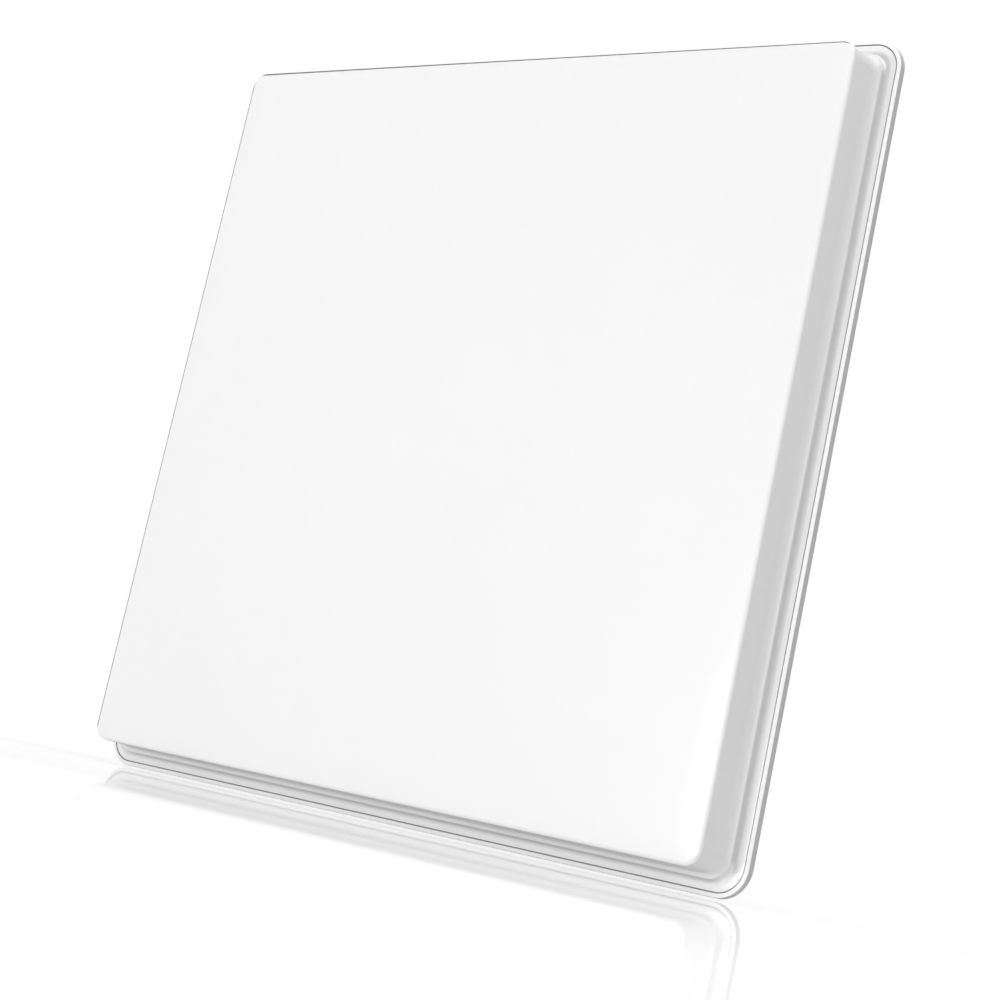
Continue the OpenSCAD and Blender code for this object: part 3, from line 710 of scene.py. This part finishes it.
class ANTENNA_OT_sockets(bpy.types.Operator):
    """Turn the two coaxial sockets with their threads cut"""

    bl_idname = "antenna.sockets"
    bl_label = "Coaxial sockets"

    def execute(self, context):
        sizes = context.scene.antenna_threads
        nickel = turned_metal("nickel", context.scene.antenna_finishes.nickel, 0.18, "z")
        bore, crest, collar_end = sizes.socket_bore, sizes.socket_radius, sizes.socket_collar
        core = crest - sizes.socket_depth
        chamfer, shoulder, gap, runout = 0.25 * MM, 0.05 * MM, 0.1 * MM, 0.3 * MM
        nut_low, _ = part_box("output_nuts")
        for side in ("left", "right"):
            low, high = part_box("output_body_" + side)
            length = high.z - low.z
            collar = (high.x - low.x) / 2
            start = high.z - nut_low.z + shoulder
            before = [
                (0.0, bore), (0.0, collar - chamfer), (chamfer, collar), (collar_end - chamfer, collar),
                (collar_end, collar - chamfer), (collar_end, core), (start - gap, core),
            ]
            after = [
                (length - shoulder, core), (length, core - chamfer), (length, bore + chamfer),
                (length - chamfer, bore),
            ]
            thread = (start, length - runout, sizes.socket_pitch, core, crest)
            along, across, ahead = turned_loop(before, thread, after)
            centre_x, centre_y = (low.x + high.x) / 2, (low.y + high.y) / 2
            grid = np.stack([centre_x + across, centre_y + ahead, high.z - along], -1)
            piece = turned_piece("threaded_socket_" + side, [grid], nickel)
            register_piece(piece, "nickel", "output_body_" + side)
        return {"FINISHED"}


class ANTENNA_OT_inserts(bpy.types.Operator):
    """Turn the four bracket inserts with their threads cut"""

    bl_idname = "antenna.inserts"
    bl_label = "Bracket inserts"

    def execute(self, context):
        sizes = context.scene.antenna_threads
        brass = turned_metal("insert_brass", context.scene.antenna_finishes.brass, 0.22, "y")
        low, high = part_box("mount_inserts")
        length, outer, crest = high.y - low.y, sizes.insert_radius, sizes.insert_bore
        root = crest + 0.5 * sizes.insert_pitch
        chamfer = 0.3 * MM
        before = [
            (0.0, root + chamfer), (0.0, outer - chamfer), (chamfer, outer), (length - chamfer, outer),
            (length, outer - chamfer), (length, root + chamfer),
        ]
        thread = (length - chamfer, chamfer, sizes.insert_pitch, root, crest)
        along, across, up = turned_loop(before, thread, [])
        grids = [
            np.stack([centre_x + across, high.y - along, centre_z + up], -1)
            for centre_x in (low.x + outer, high.x - outer)
            for centre_z in (low.z + outer, high.z - outer)
        ]
        register_piece(turned_piece("threaded_inserts", grids, brass), "brass", "mount_inserts")
        return {"FINISHED"}


class ANTENNA_OT_fixings(bpy.types.Operator):
    """Break the edges of the pieces that show on the back"""

    bl_idname = "antenna.fixings"
    bl_label = "Fixings on the back"

    def execute(self, context):
        tones = context.scene.antenna_finishes
        steel = plated_steel("zinc_steel", tones.zinc, 420.0, 0.26)
        stainless = turned_metal("stainless", (0.60, 0.60, 0.61), 0.24, "y")
        nickel = turned_metal("nickel_nuts", tones.nickel, 0.2, "z")
        black = grained("black_plastic", (0.035, 0.035, 0.037), 1500.0, 0.04 * MM, 0.5)
        pieces = (
            ("bracket_plate", "mount_plate", steel, "zinc_steel", 0.25),
            ("plate_fixings", "plate_screws", stainless, "stainless", 0.10),
            ("cover_fixings", "case_screws", stainless, "stainless", 0.15),
            ("array_fixings", "array_screws", stainless, "stainless", 0.15),
            ("socket_nuts", "output_nuts", nickel, "nickel", 0.35),
            ("socket_washers", "output_washers", nickel, "nickel", 0.12),
            ("breather", "vent_plug", black, "black_plastic", 0.20),
        )
        for name, node, material, slot, bevel in pieces:
            register_piece(dressed_copy(name, node, material, bevel * MM), slot, node)
        return {"FINISHED"}


class ANTENNA_OT_inside(bpy.types.Operator):
    """Finish the pieces that stay as they are packed, most of them inside"""

    bl_idname = "antenna.inside"
    bl_label = "Pieces inside"

    def execute(self, context):
        tones = context.scene.antenna_finishes
        plated = plated_steel("plated_plastic", (0.74, 0.75, 0.76), 90.0, 0.2)
        sheet = plated_steel("sheet_metal", (0.72, 0.73, 0.75), 60.0, 0.3)
        steel = plated_steel("inner_steel", tones.zinc, 420.0, 0.26)
        brass = turned_metal("brass", tones.brass, 0.22, "y")
        casting = cast_metal("cast_metal", (0.62, 0.63, 0.64))
        seal = rubber("seal_rubber", (0.03, 0.03, 0.03))
        foam = grained("foam", (0.82, 0.85, 0.88), 900.0, 0.2 * MM, 0.8)
        insulator = grained("white_insulator", (0.88, 0.88, 0.86), 2000.0, 0.02 * MM, 0.38)
        finished = (
            (plated, ("horn_plate", "feed_plate_front", "feed_plate_rear")),
            (sheet, ("back_plate",)),
            (steel, ("stack_screws", "lnb_screws")),
            (brass, ("lnb_probes", "output_contacts")),
            (casting, ("lnb_body", "lnb_cover")),
            (seal, ("rim_seal", "lnb_gasket", "output_seals")),
            (foam, ("foam_spacer",)),
            (insulator, ("output_insulators",)),
            (circuit_board(), ("lnb_board",)),
        )
        for material, nodes in finished:
            for node in nodes:
                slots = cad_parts[node].data.materials
                slots.clear()
                slots.append(material)
        return {"FINISHED"}


class ANTENNA_OT_stage(bpy.types.Operator):
    """Set the floor, the lamps, the sky and the camera"""

    bl_idname = "antenna.stage"
    bl_label = "Studio"

    def execute(self, context):
        studio = context.scene.antenna_studio
        self.floor()
        self.sky(context.scene, studio.sky)
        lamps = (
            ("key_lamp", (-0.47, -2.40, -0.13), (1.0, 0.26), studio.key),
            ("side_lamp", (1.55, -1.70, 0.1), (0.9, 0.7), studio.side),
            ("top_lamp", (0.65, -0.5, 2.1), (1.4, 1.4), studio.top),
            ("back_lamp", (-0.6, 2.3, 0.9), (1.8, 1.8), studio.back),
        )
        for lamp in lamps:
            self.lamp(context.scene, *lamp)
        self.camera(context.scene, studio)
        context.scene.view_settings.view_transform = "Standard"
        return {"FINISHED"}

    def floor(self):
        """A wide sheet just under the antenna, half paper and half polish. Camera rays see the paper
        lifted towards white, and more so away from the antenna."""
        level, reach = CASE_LOW.z - 1.0 * MM, 6.0
        lift_near, lift_far, lift_start, lift_stop = 0.57, 0.60, 0.40, 1.2
        sides = ((-1, -1), (1, -1), (1, 1), (-1, 1))
        corners = [(reach * side_x, reach * side_y, level) for side_x, side_y in sides]
        finish = Finish("floor_paper")
        x, y, _ = finish.axes()
        far = (x * x + y * y).root().ramp(lift_start, lift_stop)
        seen = finish.read(finish.node("ShaderNodeLightPath"), "Is Camera Ray")
        glow = finish.blend(seen * (lift_near + lift_far * far), BLACK, WHITE)
        paper = finish.principled(
            Base_Color=(0.50, 0.50, 0.50), Roughness=0.9, Specular_IOR_Level=0.0,
            Emission_Color=glow, Emission_Strength=1.0,
        )
        polish = finish.principled(Base_Color=WHITE, Metallic=1.0, Roughness=0.03)
        both = finish.node("ShaderNodeMixShader", Fac=0.50)
        finish.fill(both.inputs[1], paper)
        finish.fill(both.inputs[2], polish)
        mesh_object("floor", corners, [[0, 1, 2, 3]], finish.show(both.outputs[0]))

    def sky(self, scene, level):
        """Even light from all round, which is white where a ray sees it directly"""
        world = bpy.data.worlds.new("white_room")
        world.use_nodes = True
        scene.world = world
        graph = Graph(world.node_tree)
        path = graph.node("ShaderNodeLightPath")
        direct = ("Is Camera Ray", "Is Glossy Ray", "Is Transmission Ray")
        camera, glossy, through = (graph.read(path, name) for name in direct)
        seen = (camera + glossy + through).clamp()
        light = graph.node("ShaderNodeBackground", Color=WHITE, Strength=level + (1.0 - level) * seen)
        graph.node("ShaderNodeOutputWorld", Surface=light.outputs[0])

    def lamp(self, scene, name, place, size, power):
        """A soft lamp of the given width and height that faces the middle of the antenna"""
        light = bpy.data.lights.new(name, "AREA")
        light.shape = "RECTANGLE"
        light.size, light.size_y = size
        light.energy = power
        lamp = bpy.data.objects.new(name, light)
        lamp.location = place
        lamp.rotation_euler = (-Vector(place)).to_track_quat("-Z", "Y").to_euler()
        scene.collection.objects.link(lamp)

    def camera(self, scene, studio):
        camera = bpy.data.cameras.new("camera")
        camera.sensor_width = 36.0
        camera.lens = studio.focal * camera.sensor_width
        camera.shift_x, camera.shift_y = studio.shift
        camera.clip_start, camera.clip_end = 0.05, 50.0
        flat = math.cos(studio.rise)
        ahead = Vector((
            -math.sin(studio.azimuth) * flat, math.cos(studio.azimuth) * flat, math.sin(studio.rise)
        ))
        turn = ahead.to_track_quat("-Z", "Y").to_matrix() @ Matrix.Rotation(studio.roll, 3, "Z")
        holder = bpy.data.objects.new("camera", camera)
        holder.matrix_world = Matrix.Translation(studio.place) @ turn.to_4x4()
        scene.collection.objects.link(holder)
        scene.camera = holder


class ANTENNA_PT_panel(bpy.types.Panel):
    """Lists the sizes, the colours and the steps in the 3D view's sidebar"""

    bl_label = "Flat antenna"
    bl_idname = "ANTENNA_PT_panel"
    bl_space_type = "VIEW_3D"
    bl_region_type = "UI"
    bl_category = "Antenna"

    def draw(self, context):
        column = self.layout.column()
        for group in GROUPS:
            settings = getattr(context.scene, group)
            for name in settings.bl_rna.properties.keys():
                if name not in ("rna_type", "name"):
                    column.prop(settings, name)
        for step in STEPS:
            column.operator(step.bl_idname)


GROUPS = {
    "antenna_cover": CoverSizes,
    "antenna_threads": ThreadSizes,
    "antenna_finishes": Finishes,
    "antenna_studio": Studio,
}
STEPS = (
    ANTENNA_OT_cover,
    ANTENNA_OT_case,
    ANTENNA_OT_sockets,
    ANTENNA_OT_inserts,
    ANTENNA_OT_fixings,
    ANTENNA_OT_inside,
    ANTENNA_OT_stage,
)
CLASSES = (*GROUPS.values(), *STEPS, ANTENNA_PT_panel)


def register():
    for cls in CLASSES:
        bpy.utils.register_class(cls)
    for name, group in GROUPS.items():
        setattr(bpy.types.Scene, name, bpy.props.PointerProperty(type=group))


def unregister():
    for name in GROUPS:
        delattr(bpy.types.Scene, name)
    for cls in reversed(CLASSES):
        bpy.utils.unregister_class(cls)


def main():
    register()
    bpy.ops.antenna.cover()
    bpy.ops.antenna.case()
    bpy.ops.antenna.sockets()
    bpy.ops.antenna.inserts()
    bpy.ops.antenna.fixings()
    bpy.ops.antenna.inside()
    bpy.ops.antenna.stage()


if __name__ == "__main__":
    main()
